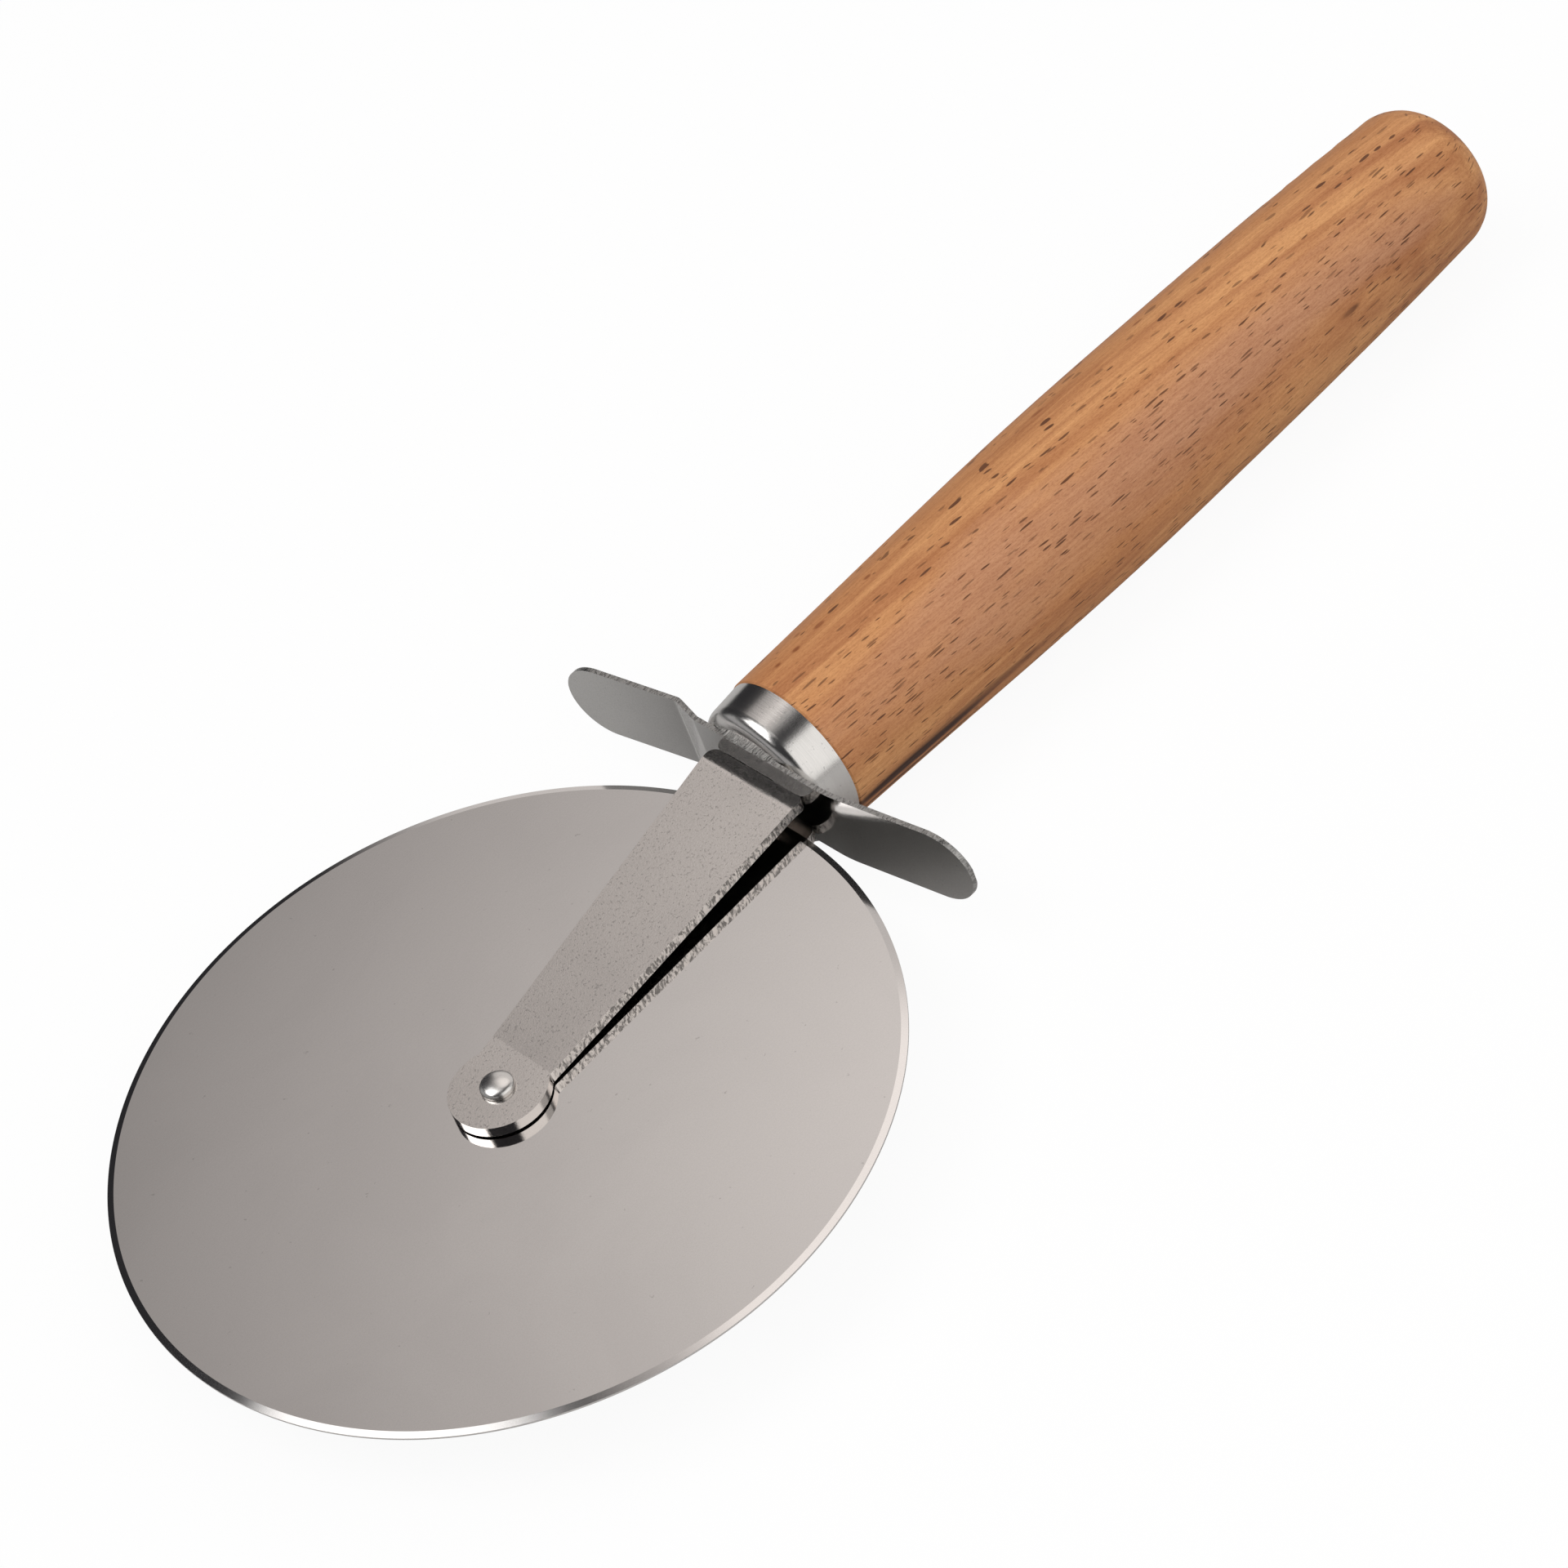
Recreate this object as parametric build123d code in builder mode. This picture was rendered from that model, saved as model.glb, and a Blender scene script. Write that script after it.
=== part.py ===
from build123d import *
from math import radians, tan
import os

# A pizza cutter: a thin round blade turns on a riveted pivot between two sheet arms.
# The arms' tangs go through a thumb guard and a ferrule into a turned wooden handle.
# The origin is the middle of the handle's butt face, +X runs along the handle to the
# wheel, and +Z is the side that the front arm is on.

# Handle
handle_length = 123.0
handle_butt_radius = 10.05
handle_widest_radius = 12.25
handle_rim_radius = 11.05
handle_profile_shares = ((0.19, 0.918), (0.423, 0.981), (0.573, 1.0), (0.798, 0.957))
butt_round = 6.5
rim_break = 0.25

# Ferrule
ferrule_length = 6.0
ferrule_rim_radius = 10.9
ferrule_base_radius = 10.35
ferrule_round = 2.0
ferrule_wall = 0.6
spigot_clearance = 0.1

# Thumb guard: flat under the ferrule, raised in a crest on one side, where its wing
# droops towards the wheel, and bent smoothly towards the handle on the other side
guard_thickness = 0.7
guard_span = 68.2
guard_width = 11.5
guard_shift = 1.6
guard_offset = 1.2
guard_flat_margin = 0.8
guard_crest_reach = 13.5
guard_crest_rise = 1.0
guard_crest_radius = 1.5
guard_droop_angle = 10.2
guard_root_reach = 15.0
guard_root_radius = 24.0
guard_lift_angle = 8.4

# Wheel and pivot
wheel_radius = 50.0
wheel_thickness = 0.7
wheel_edge_thickness = 0.28
wheel_bevel_width = 0.85
rim_to_guard = 2.8
pivot_offset = 9.5
rivet_radius = 1.5
rivet_head_radius = 2.2
rivet_head_height = 1.25
rivet_rim_height = 0.45
bush_radius = 3.0
pivot_clearance = 0.05
wheel_side_gap = 0.3

# Arms
arm_thickness = 1.5
boss_radius = 6.4
neck_half_width = 5.05
neck_offset = -0.5
shoulder_half_width = 8.4
shoulder_offset = 1.5
shoulder_round = 1.2
neck_fillet = 0.8
arm_splay = 1.6
arm_bend_reach = 5.2
arm_bend_radius = 4.0
band_height = 2.3
band_angle = 8.0
tang_length = 46.0
tang_half_width = 4.2
tang_tip_chamfer = 1.5
tang_clearance = 0.1

# Cuts run past the faces that they open by this much
overrun = 1.0

# Stations along the handle's axis
ferrule_end = handle_length + ferrule_length
guard_face = ferrule_end + guard_thickness
pivot_x = guard_face + rim_to_guard + wheel_radius
pivot = Vector(pivot_x, pivot_offset, 0)
pivot_side = Plane(origin=pivot, x_dir=(1, 0, 0), z_dir=(0, -1, 0))
pivot_axis = Axis(pivot, (0, 0, 1))

# Stations across the wheel, from its middle plane
arm_inner = wheel_thickness / 2 + wheel_side_gap
arm_outer = arm_inner + arm_thickness
tang_inner = arm_inner + arm_splay - band_height * tan(radians(band_angle))
tang_middle = tang_inner + arm_thickness / 2


def across(distance):
    """The plane square to the handle at this distance, with its x along +Y."""
    return Plane(origin=(distance, 0, 0), x_dir=(0, 1, 0), z_dir=(1, 0, 0))


def tang_openings(start, depth):
    """Cut the openings for both tangs, from this distance back towards the butt."""
    with BuildSketch(across(start)) as openings:
        with Locations((0, tang_middle), (0, -tang_middle)):
            Rectangle(2 * (tang_half_width + tang_clearance), arm_thickness + 2 * tang_clearance)
    extrude(openings.sketch, amount=-depth, mode=Mode.SUBTRACT)


# Handle: one turned profile, rounded at the butt, with a spigot inside the ferrule
spigot_rim_radius = ferrule_rim_radius - ferrule_wall - spigot_clearance
spigot_end_radius = ferrule_base_radius - ferrule_wall - spigot_clearance
spigot_end = ferrule_end - ferrule_wall
tang_depth = tang_length - guard_thickness - ferrule_wall + tang_clearance
with BuildPart() as handle:
    with BuildSketch():
        with BuildLine():
            butt = Line((0, 0), (0, handle_butt_radius))
            bulge = [
                (handle_length * along, handle_widest_radius * out)
                for along, out in handle_profile_shares
            ]
            barrel = Spline(butt @ 1, *bulge, (handle_length, handle_rim_radius))
            Polyline(
                barrel @ 1,
                (handle_length, spigot_rim_radius),
                (spigot_end, spigot_end_radius),
                (spigot_end, 0),
                butt @ 0,
            )
        make_face()
    revolve(axis=Axis.X)
    rings = handle.edges().filter_by(GeomType.CIRCLE).sort_by(Axis.X)
    fillet(rings[0], butt_round)
    rings = handle.edges().filter_by(GeomType.CIRCLE).sort_by(Axis.X)
    chamfer(rings[-1], ferrule_round)
    rim_rings = handle.edges().filter_by_position(Axis.X, handle_length, handle_length)
    chamfer(rim_rings.sort_by(SortBy.RADIUS)[-1], rim_break)
    tang_openings(spigot_end, tang_depth)
handle.part.label = "handle"

# Ferrule: a drawn cup with a slight draft, closed towards the wheel
with BuildPart() as ferrule:
    with BuildSketch():
        with BuildLine():
            Polyline(
                (handle_length, 0),
                (handle_length, ferrule_rim_radius),
                (ferrule_end, ferrule_base_radius),
                (ferrule_end, 0),
                close=True,
            )
        make_face()
    revolve(axis=Axis.X)
    rings = ferrule.edges().filter_by(GeomType.CIRCLE).sort_by(Axis.X)
    fillet(rings[-1], ferrule_round)
    mouth = ferrule.faces().sort_by(Axis.X)[0]
    offset(amount=-ferrule_wall, openings=mouth)
    tang_openings(ferrule_end + overrun, ferrule_wall + 2 * overrun)
ferrule.part.label = "ferrule"

# Thumb guard: a bent strip, cut to a plan with round ends
guard_flat_reach = ferrule_base_radius - ferrule_round + guard_flat_margin
low_reach = guard_span / 2 - guard_shift
high_reach = guard_span / 2 + guard_shift
droop = (low_reach - guard_crest_reach) * tan(radians(guard_droop_angle))
lift = (high_reach - guard_root_reach) * tan(radians(guard_lift_angle))
with BuildPart() as thumb_guard:
    with BuildSketch():
        with BuildLine():
            FilletPolyline(
                (guard_face - guard_crest_rise + droop, -low_reach),
                (guard_face - guard_crest_rise, -guard_crest_reach),
                (guard_face, -guard_flat_reach),
                (guard_face, guard_root_reach),
                (guard_face - lift, high_reach),
                radius=(guard_crest_radius, guard_crest_radius, guard_root_radius),
            )
            offset(amount=guard_thickness, side=Side.LEFT)
        make_face()
    extrude(amount=guard_width, both=True)
    with BuildSketch(across(handle_length)):
        with Locations((guard_shift, guard_offset)):
            SlotOverall(guard_span, guard_width)
    extrude(amount=wheel_radius, mode=Mode.INTERSECT)
    tang_openings(guard_face + overrun, guard_thickness + 2 * overrun)
thumb_guard.part.label = "thumb_guard"

# Arms: sheet bent along its length, cut to a flat outline, and pierced for the rivet
shoulder_middle = shoulder_offset - pivot_offset
with BuildPart() as front_arm:
    with BuildSketch(Plane.XZ):
        with BuildLine():
            FilletPolyline(
                (guard_face - tang_length, tang_inner),
                (guard_face, tang_inner),
                (guard_face + band_height, arm_inner + arm_splay),
                (pivot_x - arm_bend_reach, arm_inner),
                (pivot_x + boss_radius, arm_inner),
                radius=arm_bend_radius,
            )
            offset(amount=arm_thickness, side=Side.LEFT)
        make_face()
    extrude(amount=wheel_radius, both=True)
    with BuildSketch(Plane(pivot)) as outline:
        Polygon(
            (0, neck_offset - neck_half_width),
            (0, neck_offset + neck_half_width),
            (guard_face - pivot_x, shoulder_middle + shoulder_half_width),
            (guard_face - pivot_x, shoulder_middle - shoulder_half_width),
        )
        fillet(outline.vertices().group_by(Axis.X)[0], shoulder_round)
        Circle(boss_radius)
        fillet(outline.vertices().sort_by_distance((0, 0, 0))[:2], neck_fillet)
        with Locations((guard_face - pivot_x, -pivot_offset)):
            Rectangle(tang_length, 2 * tang_half_width, align=(Align.MAX, Align.CENTER))
        chamfer(outline.vertices().group_by(Axis.X)[0], tang_tip_chamfer)
        Circle(rivet_radius, mode=Mode.SUBTRACT)
    extrude(amount=wheel_radius, mode=Mode.INTERSECT)
front_arm.part.label = "front_arm"

with BuildPart() as rear_arm:
    mirror(front_arm.part, about=Plane.XY)
rear_arm.part.label = "rear_arm"

# Wheel: a thin disc ground to an edge from both sides
with BuildPart() as wheel_blade:
    with BuildSketch(pivot_side):
        with BuildLine():
            Polyline(
                (bush_radius + pivot_clearance, wheel_thickness / 2),
                (wheel_radius - wheel_bevel_width, wheel_thickness / 2),
                (wheel_radius, wheel_edge_thickness / 2),
                (wheel_radius, -wheel_edge_thickness / 2),
                (wheel_radius - wheel_bevel_width, -wheel_thickness / 2),
                (bush_radius + pivot_clearance, -wheel_thickness / 2),
                close=True,
            )
        make_face()
    revolve(axis=pivot_axis)
wheel_blade.part.label = "wheel_blade"

# Rivet: a shank through both arms, with a low domed head at each end
head_rim = arm_outer + rivet_rim_height
head_top = arm_outer + rivet_head_height
with BuildPart() as pivot_rivet:
    with BuildSketch(pivot_side):
        with BuildLine():
            dome = TangentArc((0, head_top), (rivet_head_radius, head_rim), tangent=(1, 0))
            Polyline(
                dome @ 1,
                (rivet_head_radius, arm_outer),
                (rivet_radius, arm_outer),
                (rivet_radius, 0),
                (0, 0),
                dome @ 0,
            )
        make_face()
    revolve(axis=pivot_axis)
    mirror(about=Plane(pivot))
pivot_rivet.part.label = "pivot_rivet"

# Bush: a sleeve that keeps the arms just clear of the wheel
with BuildPart() as pivot_bush:
    with BuildSketch(Plane(pivot)):
        Circle(bush_radius)
        Circle(rivet_radius, mode=Mode.SUBTRACT)
    extrude(amount=arm_inner, both=True)
pivot_bush.part.label = "pivot_bush"

pieces = (
    handle,
    ferrule,
    thumb_guard,
    front_arm,
    rear_arm,
    wheel_blade,
    pivot_rivet,
    pivot_bush,
)
os.makedirs("parts", exist_ok=True)
for piece in pieces:
    export_step(piece.part, f"parts/{piece.part.label}.step")
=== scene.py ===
import math

import bmesh
import bpy
from mathutils import Matrix, Vector


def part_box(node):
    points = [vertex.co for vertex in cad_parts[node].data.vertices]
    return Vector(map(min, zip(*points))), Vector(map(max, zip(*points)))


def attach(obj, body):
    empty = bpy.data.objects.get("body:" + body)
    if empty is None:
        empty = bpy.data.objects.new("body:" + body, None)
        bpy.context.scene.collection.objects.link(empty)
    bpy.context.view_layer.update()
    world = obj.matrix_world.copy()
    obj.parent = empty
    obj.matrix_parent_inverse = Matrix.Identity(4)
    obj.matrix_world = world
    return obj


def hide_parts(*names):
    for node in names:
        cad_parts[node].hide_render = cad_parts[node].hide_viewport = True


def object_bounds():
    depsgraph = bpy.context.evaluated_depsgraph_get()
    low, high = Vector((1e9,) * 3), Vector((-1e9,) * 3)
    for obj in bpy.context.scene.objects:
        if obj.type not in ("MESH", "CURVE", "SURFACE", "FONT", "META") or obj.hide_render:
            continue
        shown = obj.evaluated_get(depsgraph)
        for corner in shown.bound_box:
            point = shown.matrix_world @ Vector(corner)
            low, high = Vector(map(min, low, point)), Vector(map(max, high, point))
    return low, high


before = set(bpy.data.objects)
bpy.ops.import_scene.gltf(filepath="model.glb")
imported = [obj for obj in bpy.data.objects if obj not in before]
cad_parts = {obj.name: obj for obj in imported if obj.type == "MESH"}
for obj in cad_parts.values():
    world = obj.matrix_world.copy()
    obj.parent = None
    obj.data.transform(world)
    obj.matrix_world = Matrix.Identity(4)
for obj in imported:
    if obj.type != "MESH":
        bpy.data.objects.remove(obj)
cad_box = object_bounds()
scene = bpy.context.scene
MM = 0.001


# Handle: turned from one piece of steamed beech, sanded and lightly oiled.
# The ray flecks run along the grain, which lies a few degrees off the handle's axis.
# A dark mineral streak and a few brown spots are in the wood itself.
def screen_colour(red, green, blue):
    """A colour as a screen shows it, in the numbers that a shader takes."""
    channels = []
    for value in (red, green, blue):
        share = value / 255
        channels.append(share / 12.92 if share < 0.04 else ((share + 0.055) / 1.055) ** 2.4)
    return (*channels, 1.0)


def node(tree, kind, settings=None, **values):
    """A node of this kind, with its settings, and its input values by socket name."""
    made = tree.nodes.new(kind)
    for name, value in (settings or {}).items():
        setattr(made, name, value)
    for name, value in values.items():
        made.inputs[name.replace("_", " ")].default_value = value
    return made


def feed(tree, socket, value):
    """Links a value that comes from a node to this socket, or sets a plain one on it."""
    if isinstance(value, bpy.types.NodeSocket):
        tree.links.new(value, socket)
    elif value is not None:
        socket.default_value = value


def maths(tree, operation, first, second=None, kind="ShaderNodeMath"):
    """The result of a sum, with links or plain numbers going in."""
    made = node(tree, kind, {"operation": operation})
    for socket, value in zip(made.inputs, (first, second)):
        feed(tree, socket, value)
    return made.outputs[1 if operation in ("LENGTH", "DOT_PRODUCT") else 0]


def vectors(tree, operation, first, second=None):
    """The result of a sum of vectors."""
    return maths(tree, operation, first, second, "ShaderNodeVectorMath")


def between(tree, value, low, high, at_low=0.0, at_high=1.0):
    """A smooth step of this value, from one level to another."""
    made = node(tree, "ShaderNodeMapRange", {"interpolation_type": "SMOOTHSTEP"},
                From_Min=low, From_Max=high, To_Min=at_low, To_Max=at_high)
    tree.links.new(value, made.inputs["Value"])
    return made.outputs["Result"]


def tinted(tree, share, first, second, blend="MIX"):
    """Two colours mixed by this share, with links or plain colours going in."""
    made = node(tree, "ShaderNodeMix", {"data_type": "RGBA", "blend_type": blend})
    for name, value in (("Factor_Float", share), ("A_Color", first), ("B_Color", second)):
        feed(tree, next(one for one in made.inputs if one.identifier == name), value)
    return next(one for one in made.outputs if one.identifier == "Result_Color")


def stretched(tree, source, scales):
    """The same place with each axis scaled, so that a pattern is drawn out along one."""
    return vectors(tree, "MULTIPLY", source, scales)


def turned(tree, source, turn):
    """The same place turned about the piece's origin."""
    made = node(tree, "ShaderNodeMapping", {"vector_type": "POINT"}, Rotation=turn)
    tree.links.new(source, made.inputs["Vector"])
    return made.outputs["Vector"]


def noise(tree, source, scale=1.0, detail=3.0, roughness=0.5, distortion=0.0):
    """A noise pattern over this place, with values round a half."""
    made = node(tree, "ShaderNodeTexNoise", None, Scale=scale, Detail=detail,
                Roughness=roughness, Distortion=distortion)
    tree.links.new(source, made.inputs["Vector"])
    return made.outputs["Fac"]


def new_material(name, metallic=0.0):
    """An empty material: its node tree, its shader and the place on the piece."""
    made = bpy.data.materials.new(name)
    made.use_nodes = True
    tree = made.node_tree
    shader = tree.nodes["Principled BSDF"]
    shader.inputs["Metallic"].default_value = metallic
    place = tree.nodes.new("ShaderNodeTexCoord").outputs["Object"]
    return made, tree, shader, place


def bumped(tree, shader, height, strength, depth):
    """Raises the surface by this height, in metres at full strength."""
    made = node(tree, "ShaderNodeBump", None, Strength=strength, Distance=depth)
    tree.links.new(height, made.inputs["Height"])
    tree.links.new(made.outputs["Normal"], shader.inputs["Normal"])


def finished(solid, material):
    """Gives a solid that is shown as it is its material."""
    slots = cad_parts[solid].data.materials
    slots.clear()
    slots.append(material)


grain_turn = (math.radians(68), math.radians(-2.8), math.radians(2.0))
wood_light = screen_colour(216, 161, 108)
wood_middle = screen_colour(198, 140, 92)
wood_dark = screen_colour(172, 113, 71)
wood_pink = screen_colour(194, 143, 109)
fleck_brown = screen_colour(92, 54, 34)
streak_brown = screen_colour(58, 33, 22)
spot_brown = screen_colour(128, 66, 34)
wood_gloss = 0.28

beech, tree, shader, place = new_material("oiled_beech")
along_grain = turned(tree, place, grain_turn)

# Its growth rings, from broad bands down to fibres and pores, each drawn out along the grain
figure_stretch = (10, 150, 420)
broad_stretch = (8, 60, 150)
fibre_stretch = (160, 2600, 2600)
pore_stretch = (2200, 6500, 6500)
fibre_depth_share = 0.26
pore_depth_share = 0.22
figure = noise(tree, stretched(tree, along_grain, figure_stretch), detail=4.0,
               roughness=0.55, distortion=0.5)
broad = noise(tree, stretched(tree, along_grain, broad_stretch), detail=2.0, distortion=0.4)
fibre = noise(tree, stretched(tree, along_grain, fibre_stretch), roughness=0.6)
pores = noise(tree, stretched(tree, along_grain, pore_stretch), detail=2.0, roughness=0.6)
wood = tinted(tree, between(tree, figure, 0.36, 0.64), wood_dark, wood_light)
wood = tinted(tree, between(tree, broad, 0.40, 0.62, 0.15, 0.85), wood, wood_middle)

# The pinker heart of the plank, on the side that faces +Y and +Z
pink_stretch = (20.8, 117, 117)
pink_facing = (0.0, 0.77, 0.64)
pink_sway = 6.0 * MM
pink_from, pink_to = 12.6 * MM, 14.8 * MM
pink_share = 0.8
pink_drift = noise(tree, stretched(tree, along_grain, pink_stretch), distortion=0.5)
pink_side = maths(tree, "ADD", vectors(tree, "DOT_PRODUCT", place, pink_facing),
                  maths(tree, "MULTIPLY", pink_drift, pink_sway))
pink = between(tree, pink_side, pink_from, pink_to, 0.0, pink_share)
wood = tinted(tree, pink, wood, wood_pink)
for lines, low, high, depth in ((fibre, 0.30, 0.70, fibre_depth_share),
                                (pores, 0.35, 0.55, pore_depth_share)):
    wood = tinted(tree, between(tree, lines, low, high, depth, 0.0), wood, wood_dark, "MULTIPLY")

# Ray flecks: one to a cell of the grain, in about half of the cells
fleck_length = 2.9 * MM
fleck_thickness = 0.31 * MM
fleck_depth = 1.3 * MM
fleck_sway_stretch = (130, 400, 400)
fleck_sway = 1.6
fleck_chance = (0.46, 0.51)
fleck_reach = (0.20, 0.40)
fleck_tones = (0.45, 0.95)
fleck_softness = (-0.02, 0.08)
fleck_place = stretched(tree, along_grain, (1 / fleck_length, 1 / fleck_thickness, 1 / fleck_depth))
sway = noise(tree, stretched(tree, along_grain, fleck_sway_stretch), detail=2.0)
fleck_place = vectors(tree, "ADD", fleck_place, maths(tree, "MULTIPLY", sway, fleck_sway))
cells = node(tree, "ShaderNodeTexVoronoi", {"feature": "F1"}, Scale=1.0, Randomness=1.0)
tree.links.new(fleck_place, cells.inputs["Vector"])
chance = node(tree, "ShaderNodeSeparateColor")
tree.links.new(cells.outputs["Color"], chance.inputs["Color"])
reach = between(tree, chance.outputs["Green"], 0.0, 1.0, *fleck_reach)
inside = maths(tree, "SUBTRACT", reach, cells.outputs["Distance"])
fleck = maths(tree, "MULTIPLY", between(tree, inside, *fleck_softness),
              between(tree, chance.outputs["Red"], *fleck_chance))
tone = between(tree, chance.outputs["Blue"], 0.0, 1.0, *fleck_tones)
wood = tinted(tree, maths(tree, "MULTIPLY", fleck, tone), wood, fleck_brown)

# The streak, the spots and a small knot: each one's middle and reach in millimetres, how
# strongly it shows, and its stain
wood_marks = (
    ((114.5, 10.6, -3.9), (14.5, 0.85, 1.9), 1.0, streak_brown),
    ((107.0, 10.9, -3.5), (20.0, 1.0, 2.0), 0.5, streak_brown),
    ((112.0, 10.0, -5.8), (16.0, 0.35, 1.2), 0.8, streak_brown),
    ((116.2, -2.5, 10.9), (0.8, 0.8, 0.45), 0.8, spot_brown),
    ((111.7, -2.9, 10.9), (1.0, 0.8, 0.5), 0.65, spot_brown),
    ((119.3, -2.7, 10.8), (0.6, 0.8, 0.4), 0.75, spot_brown),
    ((114.0, -4.9, 10.0), (0.7, 0.8, 0.4), 0.55, spot_brown),
    ((102.6, -3.3, 11.1), (0.7, 0.8, 0.4), 0.75, spot_brown),
    ((96.3, -2.7, 11.5), (0.9, 0.8, 0.35), 0.6, spot_brown),
    ((70.5, -4.3, 11.5), (1.1, 0.8, 0.4), 0.55, spot_brown),
    ((51.6, -4.6, 11.1), (1.0, 0.8, 0.4), 0.65, spot_brown),
    ((30.3, 11.2, 2.7), (1.9, 0.45, 0.9), 0.8, fleck_brown),
    ((32.5, 11.0, 3.2), (3.2, 1.6, 2.0), 0.35, wood_dark),
)
mark_wobble_stretch = (40, 260, 260)
mark_wobble = 0.9
mark_outer, mark_inner = 1.15, 0.45
drift = noise(tree, stretched(tree, along_grain, mark_wobble_stretch), detail=2.0)
wobble = maths(tree, "MULTIPLY", maths(tree, "SUBTRACT", drift, 0.5), mark_wobble)
for middle, reach, strength, stain in wood_marks:
    offset = vectors(tree, "SUBTRACT", place, [size * MM for size in middle])
    shares = stretched(tree, turned(tree, offset, grain_turn), [1 / (size * MM) for size in reach])
    away = maths(tree, "ADD", vectors(tree, "LENGTH", shares), wobble)
    shown = between(tree, away, mark_outer, mark_inner, 0.0, strength)
    wood = tinted(tree, shown, wood, stain)

wood_roughness = (0.50, 0.62)
relief_strength = 0.35
relief_depth = 0.06 * MM
fibre_relief, fleck_relief = 0.5, 0.35
tree.links.new(wood, shader.inputs["Base Color"])
tree.links.new(between(tree, figure, 0.3, 0.7, *wood_roughness), shader.inputs["Roughness"])
shader.inputs["Specular IOR Level"].default_value = wood_gloss
relief = maths(tree, "SUBTRACT", maths(tree, "MULTIPLY", fibre, fibre_relief),
               maths(tree, "MULTIPLY", fleck, fleck_relief))
bumped(tree, shader, relief, relief_strength, relief_depth)
finished("handle", beech)


# Ferrule: a cup drawn from thin stainless sheet, pushed over the handle's spigot.
# Drawing and polishing leave fine lines round it, and its closed end is well rounded.
def effect(name, inputs, outputs):
    """A shader node group with these named inputs and outputs."""
    group = bpy.data.node_groups.new(name, "ShaderNodeTree")
    for socket_name, kind, value in inputs:
        socket = group.interface.new_socket(socket_name, in_out="INPUT", socket_type=kind)
        if value is not None:
            socket.default_value = value
    for socket_name, kind in outputs:
        group.interface.new_socket(socket_name, in_out="OUTPUT", socket_type=kind)
    taken = group.nodes.new("NodeGroupInput").outputs
    given = group.nodes.new("NodeGroupOutput").inputs
    return group, taken, given


def placed(tree, group, **inputs):
    """This effect placed in a material, with its inputs linked or set; gives its outputs."""
    made = tree.nodes.new("ShaderNodeGroup")
    made.node_tree = group
    for name, value in inputs.items():
        feed(tree, made.inputs[name], value)
    return made.outputs


handled, taken, given = effect(
    "handled_steel",
    (("Place", "NodeSocketVector", None), ("Speck_Scale", "NodeSocketFloat", 3000.0),
     ("Speck_Share", "NodeSocketFloat", 0.4)),
    (("Specks", "NodeSocketFloat"), ("Haze", "NodeSocketFloat"), ("Grit", "NodeSocketFloat")),
)
speck_softness = 0.07
haze_scale = 45.0
grit_scale = 5200.0
speck_noise = node(handled, "ShaderNodeTexNoise", None, Detail=2.0, Roughness=0.6)
handled.links.new(taken["Place"], speck_noise.inputs["Vector"])
handled.links.new(taken["Speck_Scale"], speck_noise.inputs["Scale"])
speck_start = maths(handled, "SUBTRACT", 1.0, taken["Speck_Share"])
speck_excess = maths(handled, "SUBTRACT", speck_noise.outputs["Fac"], speck_start)
handled.links.new(between(handled, speck_excess, 0.0, speck_softness), given["Specks"])
handled.links.new(noise(handled, taken["Place"], haze_scale, 4.0, 0.55), given["Haze"])
handled.links.new(noise(handled, taken["Place"], grit_scale, 2.0, 0.7), given["Grit"])

ferrule_colour = (0.67, 0.65, 0.63, 1.0)
ferrule_line_colour = (0.42, 0.41, 0.40, 1.0)
ferrule_speck_colour = (0.25, 0.24, 0.23, 1.0)
ferrule_line_stretch = (5200, 260, 260)
ferrule_line_share = 0.18
ferrule_speck_strength = 0.35
ferrule_roughness = (0.17, 0.25)
ferrule_line_depth = 0.02 * MM

drawn_steel, tree, shader, place = new_material("drawn_steel", metallic=1.0)
marks = placed(tree, handled, Place=place, Speck_Scale=1800.0, Speck_Share=0.36)
drawn_lines = noise(tree, stretched(tree, place, ferrule_line_stretch), roughness=0.6)
line_share = between(tree, drawn_lines, 0.3, 0.7, 0.0, ferrule_line_share)
steel = tinted(tree, line_share, ferrule_colour, ferrule_line_colour)
speck_share = maths(tree, "MULTIPLY", marks["Specks"], ferrule_speck_strength)
steel = tinted(tree, speck_share, steel, ferrule_speck_colour)
tree.links.new(steel, shader.inputs["Base Color"])
haze = between(tree, marks["Haze"], 0.35, 0.65, *ferrule_roughness)
tree.links.new(haze, shader.inputs["Roughness"])
bumped(tree, shader, maths(tree, "ADD", drawn_lines, marks["Grit"]), 0.25, ferrule_line_depth)
finished("ferrule", drawn_steel)


# Thumb guard: a strip of stainless sheet with round ends, blanked, bent and tumbled.
# Both arms' tangs pass through it, and it is held between their shoulders and the ferrule.
def eased_sheet(solid, name, ease):
    """A blanked sheet piece as one closed mesh, with its sheared edges rounded off."""
    merge_reach = 0.002 * MM
    flat_enough = math.radians(0.6)
    sheared_from = math.radians(45)
    shape = bmesh.new()
    shape.from_mesh(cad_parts[solid].data)
    bmesh.ops.remove_doubles(shape, verts=shape.verts, dist=merge_reach)
    bmesh.ops.dissolve_limit(shape, angle_limit=flat_enough, verts=shape.verts,
                             edges=shape.edges)
    bmesh.ops.recalc_face_normals(shape, faces=shape.faces)
    sheared = [edge for edge in shape.edges
               if edge.is_manifold and edge.calc_face_angle() > sheared_from]
    bmesh.ops.bevel(shape, geom=sheared, offset=ease, offset_type="OFFSET", segments=3,
                    profile=0.5, affect="EDGES", material=-1, clamp_overlap=True)
    piece = smooth_piece(shape, name)
    even = piece.modifiers.new("even_shading", "WEIGHTED_NORMAL")
    even.mode = "FACE_AREA"
    return piece


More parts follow.
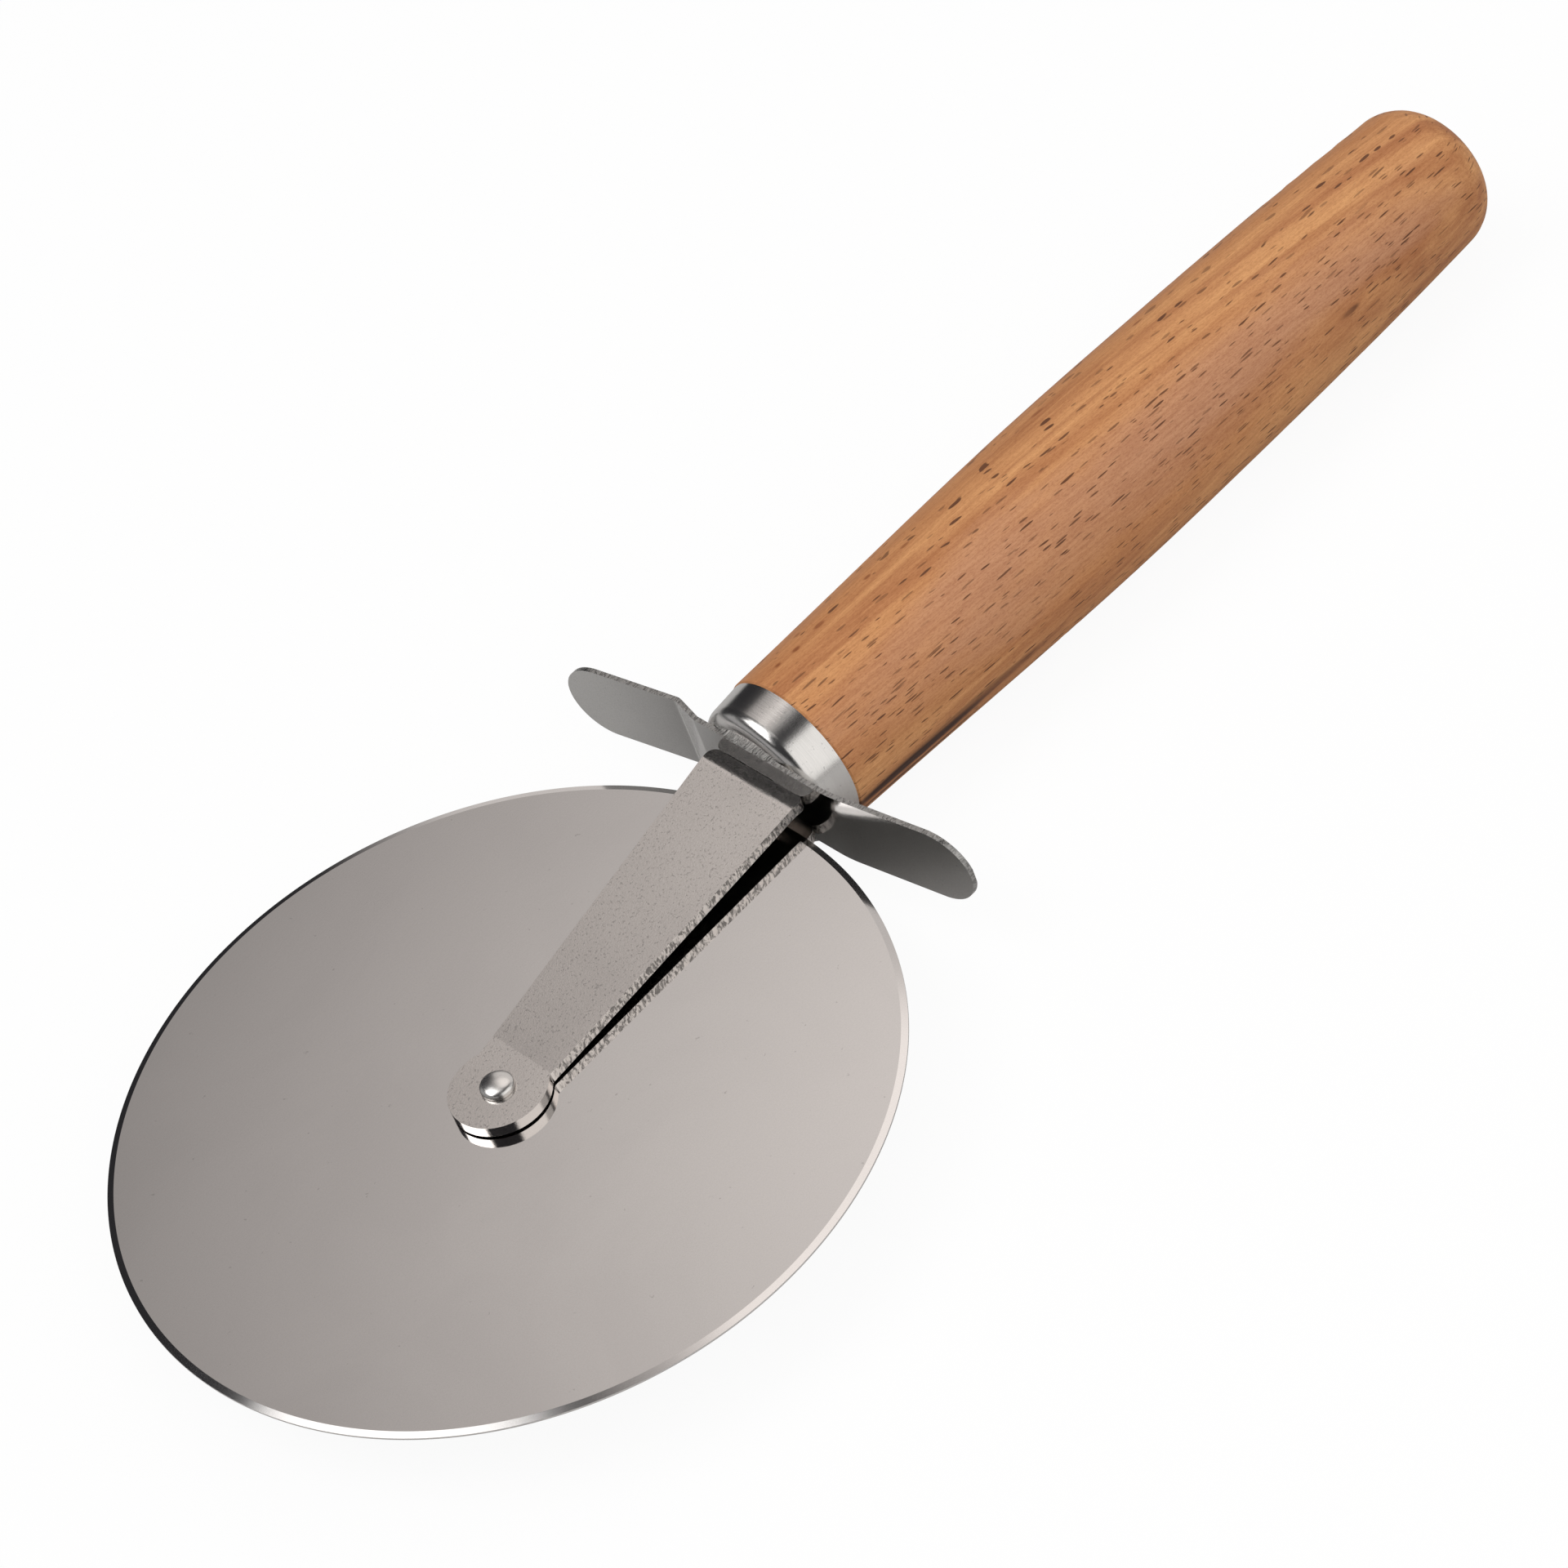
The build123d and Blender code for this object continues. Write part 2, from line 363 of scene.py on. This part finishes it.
def smooth_piece(shape, name):
    """The piece that this shape makes, with its faces shaded smooth."""
    for face in shape.faces:
        face.smooth = True
    mesh = bpy.data.meshes.new(name)
    shape.to_mesh(mesh)
    shape.free()
    piece = bpy.data.objects.new(name, mesh)
    scene.collection.objects.link(piece)
    return piece


sheared_edge, taken, given = effect(
    "sheared_edge",
    (("Place", "NodeSocketVector", None), ("Sheet_Normal", "NodeSocketVector", None)),
    (("Wall", "NodeSocketFloat"), ("Tear", "NodeSocketFloat")),
)
wall_turn = (0.75, 0.45)
tear_scale = 2500.0
drawn_share = (-0.6, -0.6, -0.6)
true_normal = node(sheared_edge, "ShaderNodeNewGeometry").outputs["True Normal"]
facing = vectors(sheared_edge, "DOT_PRODUCT", true_normal, taken["Sheet_Normal"])
facing = maths(sheared_edge, "ABSOLUTE", facing)
sheared_edge.links.new(between(sheared_edge, facing, *wall_turn), given["Wall"])
drawn_out = vectors(sheared_edge, "MULTIPLY", taken["Sheet_Normal"], drawn_share)
drawn_out = vectors(sheared_edge, "ADD", drawn_out, (1, 1, 1))
tear_place = vectors(sheared_edge, "MULTIPLY", taken["Place"], drawn_out)
tear = noise(sheared_edge, tear_place, tear_scale, roughness=0.65, distortion=0.6)
sheared_edge.links.new(tear, given["Tear"])


def shade(colour, tone):
    """The same colour made darker or lighter, and never above white."""
    return [min(1.0, channel * tone) for channel in colour[:3]] + [1.0]


def sheet_steel(name, colour, sheet_normal, specks, face_finish, grit, wall_tones,
                worn_round=None):
    """Sheet steel: specked faces with a little haze, and torn, grainy walls where it was cut.

    The walls are worn smooth within a reach of one place, where that is given."""
    dull_tone = 0.4
    speck_strength, grit_strength, haze_strength = 0.5, 0.16, 0.14
    wall_finish = (0.20, 0.40)
    wear_softness = 1.12
    worn_roughness = 0.09
    tear_height = 6.0
    relief_depth = 0.03 * MM
    made, tree, shader, place = new_material(name, metallic=1.0)
    marks = placed(tree, handled, Place=place, Speck_Scale=specks[0], Speck_Share=specks[1])
    rim = placed(tree, sheared_edge, Place=place, Sheet_Normal=sheet_normal)
    dull = shade(colour, dull_tone)
    steel = tinted(tree, maths(tree, "MULTIPLY", marks["Specks"], speck_strength), colour, dull)
    steel = tinted(tree, between(tree, marks["Grit"], 0.35, 0.65, grit_strength, 0.0), steel, dull)
    steel = tinted(tree, between(tree, marks["Haze"], 0.35, 0.70, 0.0, haze_strength), steel, dull)
    wall_dark, wall_light = (shade(colour, tone) for tone in wall_tones)
    wall = tinted(tree, between(tree, rim["Tear"], 0.40, 0.58), wall_dark, wall_light)
    wall_roughness = between(tree, rim["Tear"], 0.3, 0.7, *wall_finish)
    torn = maths(tree, "MULTIPLY", rim["Tear"], rim["Wall"])
    if worn_round:
        middle, reach = worn_round
        away = stretched(tree, vectors(tree, "SUBTRACT", place, middle), (1, 1, 0))
        away = vectors(tree, "LENGTH", away)
        still_torn = between(tree, away, reach, reach * wear_softness)
        wall = tinted(tree, still_torn, colour, wall)
        wall_roughness = maths(tree, "ADD", maths(tree, "MULTIPLY", wall_roughness, still_torn),
                               worn_roughness)
        torn = maths(tree, "MULTIPLY", torn, still_torn)
    tree.links.new(tinted(tree, rim["Wall"], steel, wall), shader.inputs["Base Color"])
    face_roughness = between(tree, marks["Grit"], 0.3, 0.7, *face_finish)
    mixed = node(tree, "ShaderNodeMix", {"data_type": "FLOAT"})
    for identifier, value in (("Factor_Float", rim["Wall"]), ("A_Float", face_roughness),
                              ("B_Float", wall_roughness)):
        feed(tree, next(one for one in mixed.inputs if one.identifier == identifier), value)
    tree.links.new(mixed.outputs[0], shader.inputs["Roughness"])
    height = maths(tree, "ADD", maths(tree, "MULTIPLY", marks["Grit"], grit),
                   maths(tree, "MULTIPLY", torn, tear_height))
    bumped(tree, shader, height, 0.5, relief_depth)
    return made


guard_ease = 0.12 * MM
guard_steel = sheet_steel(
    "guard_steel_satin", (0.56, 0.55, 0.535, 1.0), sheet_normal=(1.0, 0.0, 0.0),
    specks=(2600.0, 0.33), face_finish=(0.08, 0.14), grit=0.2, wall_tones=(0.42, 0.68))
guard = eased_sheet("thumb_guard", "thumb_guard_strip", guard_ease)
guard.data.materials.append(guard_steel)
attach(guard, "fork_and_handle")
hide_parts("thumb_guard")


# Arms: two mirrored plates of 1.5 mm stainless, blanked, bent and tumbled to a matte grey.
# Each stands off the wheel at its shoulder and closes on it at the round boss.
wheel_low, wheel_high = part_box("wheel_blade")
pivot = (wheel_low + wheel_high) / 2
arm_ease = 0.15 * MM
worn_reach = 6.6 * MM
arm_steel = sheet_steel(
    "arm_steel_tumbled", (0.76, 0.72, 0.69, 1.0), sheet_normal=(0.0, 0.0, 1.0),
    specks=(2900.0, 0.41), face_finish=(0.12, 0.20), grit=0.5, wall_tones=(0.32, 1.25),
    worn_round=(pivot, worn_reach))
for side in ("front", "rear"):
    arm = eased_sheet(f"{side}_arm", f"{side}_arm_plate", arm_ease)
    arm.data.materials.append(arm_steel)
    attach(arm, "fork_and_handle")
    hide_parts(f"{side}_arm")


# Wheel: a disc of 0.7 mm stainless, mirror polished and ground to an edge from both sides.
# It turns freely on the bush between the arms.
def spun(name, outline, steps, crease):
    """A ring turned about the pivot from its half section, shaded smooth up to the crease."""
    merge_reach = 0.0005 * MM
    shape = bmesh.new()
    corners = [shape.verts.new(pivot + Vector((radius, 0, height))) for radius, height in outline]
    edges = [shape.edges.new(pair) for pair in zip(corners, corners[1:])]
    if outline[0][0] > 0:
        edges.append(shape.edges.new((corners[-1], corners[0])))
    bmesh.ops.spin(shape, geom=corners + edges, cent=pivot, axis=(0, 0, 1), angle=math.tau,
                   steps=steps, use_merge=True, use_duplicate=False)
    bmesh.ops.remove_doubles(shape, verts=shape.verts, dist=merge_reach)
    bmesh.ops.recalc_face_normals(shape, faces=shape.faces)
    for edge in shape.edges:
        edge.smooth = edge.calc_face_angle() < math.radians(crease)
    in_vertex_order(shape)
    return smooth_piece(shape, name)


def in_vertex_order(shape):
    """Puts the faces in the order of their vertices, because a spin's own order varies."""
    shape.verts.index_update()
    count = len(shape.verts)

    def place_in_order(face):
        indices = [vertex.index for vertex in face.verts]
        return min(indices) * count + max(indices)

    shape.faces.sort(key=place_in_order)


wheel_radius = (wheel_high.x - wheel_low.x) / 2
wheel_half = (wheel_high.z - wheel_low.z) / 2
bore_radius = 3.05 * MM
bore_break = 0.1 * MM
edge_width = 0.85 * MM
edge_half = 0.14 * MM
flat_radius = wheel_radius - edge_width
wheel_upper_half = [
    (bore_radius, wheel_half - bore_break),
    (bore_radius + bore_break, wheel_half),
    (flat_radius, wheel_half),
    (wheel_radius, edge_half),
]
wheel_outline = wheel_upper_half + [(radius, -height)
                                    for radius, height in reversed(wheel_upper_half)]
wheel = spun("wheel_disc", wheel_outline, steps=360, crease=12)

wheel_colour = (0.69, 0.665, 0.65, 1.0)
wheel_smudge_colour = (0.52, 0.50, 0.49, 1.0)
wheel_speck_colour = (0.30, 0.29, 0.28, 1.0)
wheel_grit_colour = (0.50, 0.485, 0.47, 1.0)
smudge_share, speck_strength, grit_strength = 0.12, 0.35, 0.10
smudge_scale = 28.0
polish_stretch = (350, 5200, 400)
wheel_roughness = (0.035, 0.075)
ground_roughness = 0.06
ground_from, ground_to = flat_radius - 0.02 * MM, flat_radius + 0.04 * MM
polish_strength = 0.05
polish_depth = 0.01 * MM
grit_height = 0.6

mirror_steel, tree, shader, place = new_material("wheel_steel_mirror", metallic=1.0)
marks = placed(tree, handled, Place=place, Speck_Scale=900.0, Speck_Share=0.28)
across_wheel = stretched(tree, vectors(tree, "SUBTRACT", place, pivot), (1, 1, 0))
reach_out = vectors(tree, "LENGTH", across_wheel)
ground = between(tree, reach_out, ground_from, ground_to)
polish_lines = noise(tree, stretched(tree, place, polish_stretch), roughness=0.6)
smudges = noise(tree, place, smudge_scale, detail=4.0, roughness=0.6, distortion=0.8)
steel = tinted(tree, between(tree, smudges, 0.42, 0.70, 0.0, smudge_share),
               wheel_colour, wheel_smudge_colour)
steel = tinted(tree, maths(tree, "MULTIPLY", marks["Specks"], speck_strength),
               steel, wheel_speck_colour)
steel = tinted(tree, between(tree, marks["Grit"], 0.35, 0.65, 0.0, grit_strength),
               steel, wheel_grit_colour)
tree.links.new(steel, shader.inputs["Base Color"])
haze = maths(tree, "ADD", between(tree, smudges, 0.35, 0.7, *wheel_roughness),
             maths(tree, "MULTIPLY", ground, ground_roughness))
tree.links.new(haze, shader.inputs["Roughness"])
height = maths(tree, "ADD", polish_lines, maths(tree, "MULTIPLY", marks["Grit"], grit_height))
bumped(tree, shader, height, polish_strength, polish_depth)
wheel.data.materials.append(mirror_steel)
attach(wheel, "wheel")
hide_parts("wheel_blade")


# Rivet: one stainless pin through both arms and the bush, with both heads set as low domes.
# Setting leaves each head a short upright rim and a slightly uneven crown.
rivet_low, rivet_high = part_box("pivot_rivet")
head_top = rivet_high.z
head_radius = (rivet_high.x - rivet_low.x) / 2
head_rim = head_top - 0.8 * MM
arm_face = head_top - 1.25 * MM
shank_radius = 1.5 * MM
head_break = 0.08 * MM
crown_steps = 9
crown_fullness = 1.05
rivet_half = [(0.0, head_top)]
for step in range(1, crown_steps + 1):
    lean = math.radians(90 * step / crown_steps)
    rivet_half.append((head_radius * math.sin(lean) ** crown_fullness,
                       head_rim + (head_top - head_rim) * math.cos(lean)))
rivet_half += [
    (head_radius, arm_face + head_break),
    (head_radius - head_break, arm_face),
    (shank_radius, arm_face),
]
rivet_outline = rivet_half + [(radius, -height) for radius, height in reversed(rivet_half)]
rivet = spun("rivet_pin", rivet_outline, steps=72, crease=30)

rivet_colour = (0.68, 0.66, 0.64, 1.0)
rivet_speck_colour = (0.35, 0.34, 0.33, 1.0)
rivet_speck_strength = 0.4
rivet_roughness = (0.20, 0.28)
dent_scale = 900.0
dent_strength = 0.25
dent_depth = 0.05 * MM

rivet_steel, tree, shader, place = new_material("rivet_steel_polished", metallic=1.0)
marks = placed(tree, handled, Place=place, Speck_Scale=2400.0, Speck_Share=0.36)
steel = tinted(tree, maths(tree, "MULTIPLY", marks["Specks"], rivet_speck_strength),
               rivet_colour, rivet_speck_colour)
tree.links.new(steel, shader.inputs["Base Color"])
haze = between(tree, marks["Haze"], 0.3, 0.7, *rivet_roughness)
tree.links.new(haze, shader.inputs["Roughness"])
bumped(tree, shader, noise(tree, place, dent_scale, detail=2.0), dent_strength, dent_depth)
rivet.data.materials.append(rivet_steel)
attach(rivet, "fork_and_handle")
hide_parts("pivot_rivet")


# Bush: a short sleeve round the rivet's shank, which keeps the arms clear of the wheel.
# It is hidden between them and has the rivet's own finish.
finished("pivot_bush", rivet_steel)


# Studio: the cutter lies on a white sheet in a dim room, with soft boxes round it.
# The far box and the strip under it are what the wheel and the arms mirror, the near box
# lights the ferrule, and the high boxes, the pale walls and a plain fill light the rest.
camera_data = bpy.data.cameras.new("camera")
camera_data.lens = 138.53
camera_data.sensor_width = 36.0
camera_data.clip_start = 0.01
camera_data.clip_end = 20.0
camera = bpy.data.objects.new("camera", camera_data)
camera.location = (0.381238, 0.473120, 0.516013)
camera.rotation_euler = [math.radians(turn) for turn in (43.8365, 15.6388, 135.9883)]
scene.collection.objects.link(camera)
scene.camera = camera
scene.view_settings.view_transform = "Standard"

# Each box: the angles round the room where it fades in and out, in degrees from the far
# box's side, the angles upwards where it fades in and out, and its light
soft_boxes = (
    ((-75, -60, -16, 28), (35, 48, 73, 80), (1.20, 1.14, 1.10)),
    ((-80, -70, 0, 8), (6, 12, 34, 44), (0.75, 0.72, 0.70)),
    ((-178, -168, -108, -98), (-3, 6, 54, 64), (1.16, 1.15, 1.13)),
    ((50, 58, 112, 124), (41.5, 45, 78, 86), (3.4, 3.4, 3.4)),
    ((29, 35, 56, 62), (52, 56, 76, 82), (1.7, 1.7, 1.7)),
    ((36, 50, 150, 170), (2, 8, 20, 30), (0.42, 0.42, 0.42)),
    ((-104, -99, -82, -76), (3, 9, 44, 53), (0.62, 0.61, 0.60)),
    ((-182, -181, 181, 182), (76, 85, 91, 92), (0.60, 0.59, 0.58)),
)
room_turn = (0, 0, math.radians(118))
room_light = (0.028, 0.028, 0.031)
world = bpy.data.worlds.new("dark_room")
scene.world = world
world.use_nodes = True
tree = world.node_tree
tree.nodes.clear()
outwards = turned(tree, node(tree, "ShaderNodeTexCoord").outputs["Generated"], room_turn)
split = node(tree, "ShaderNodeSeparateXYZ")
tree.links.new(outwards, split.inputs[0])
round_room = maths(tree, "ARCTAN2", split.outputs["Y"], split.outputs["X"])
round_room = maths(tree, "MULTIPLY", round_room, math.degrees(1))
up_room = maths(tree, "MULTIPLY", maths(tree, "ARCSINE", split.outputs["Z"]), math.degrees(1))
for sideways, upwards, glow in soft_boxes:
    window = maths(tree, "MULTIPLY", between(tree, round_room, *sideways[:2]),
                   between(tree, round_room, *sideways[2:], 1.0, 0.0))
    window = maths(tree, "MULTIPLY", window, between(tree, up_room, *upwards[:2]))
    window = maths(tree, "MULTIPLY", window, between(tree, up_room, *upwards[2:], 1.0, 0.0))
    lit = node(tree, "ShaderNodeVectorMath", {"operation": "SCALE"})
    lit.inputs[0].default_value = glow
    tree.links.new(window, lit.inputs["Scale"])
    room_light = vectors(tree, "ADD", room_light, lit.outputs[0])
background = node(tree, "ShaderNodeBackground")
straight = node(tree, "ShaderNodeLightPath").outputs["Is Camera Ray"]
tree.links.new(tinted(tree, straight, room_light, (1, 1, 1, 1)), background.inputs["Color"])
world_output = node(tree, "ShaderNodeOutputWorld")
tree.links.new(background.outputs[0], world_output.inputs["Surface"])

fill_aim = Vector((0.1, 0, 0))
fill_data = bpy.data.lights.new("plain_fill", "AREA")
fill_data.shape = "RECTANGLE"
fill_data.size = 0.8
fill_data.size_y = 0.8
fill_data.energy = 3.9
fill_data.color = (1.0, 0.985, 0.97)
fill = bpy.data.objects.new("plain_fill", fill_data)
fill.location = (0.35, 0.50, 0.9)
fill.rotation_euler = (fill_aim - fill.location).to_track_quat("-Z", "Y").to_euler()
fill.visible_glossy = False
scene.collection.objects.link(fill)

sheet_half = 0.5
sheet_middle = (0.1, 0)
sheet_gap = 0.02 * MM
sheet_grey = (0.56, 0.56, 0.56, 1.0)
sheet_glow = 1.04
sheet_glow_share = 0.9
shape = bmesh.new()
sheet_place = Matrix.Translation((*sheet_middle, cad_box[0].z - sheet_gap))
bmesh.ops.create_grid(shape, x_segments=1, y_segments=1, size=sheet_half, matrix=sheet_place)
sheet_mesh = bpy.data.meshes.new("white_sheet")
shape.to_mesh(sheet_mesh)
shape.free()
white_sheet = bpy.data.objects.new("white_sheet", sheet_mesh)
scene.collection.objects.link(white_sheet)
paper = bpy.data.materials.new("white_paper")
paper.use_nodes = True
tree = paper.node_tree
tree.nodes.clear()
seen = node(tree, "ShaderNodeLightPath").outputs["Is Camera Ray"]
matte = node(tree, "ShaderNodeBsdfDiffuse", None, Color=sheet_grey)
bright = node(tree, "ShaderNodeEmission", None, Color=(1, 1, 1, 1), Strength=sheet_glow)
blend = node(tree, "ShaderNodeMixShader")
tree.links.new(maths(tree, "MULTIPLY", seen, sheet_glow_share), blend.inputs[0])
tree.links.new(matte.outputs[0], blend.inputs[1])
tree.links.new(bright.outputs[0], blend.inputs[2])
paper_output = node(tree, "ShaderNodeOutputMaterial")
tree.links.new(blend.outputs[0], paper_output.inputs["Surface"])
sheet_mesh.materials.append(paper)
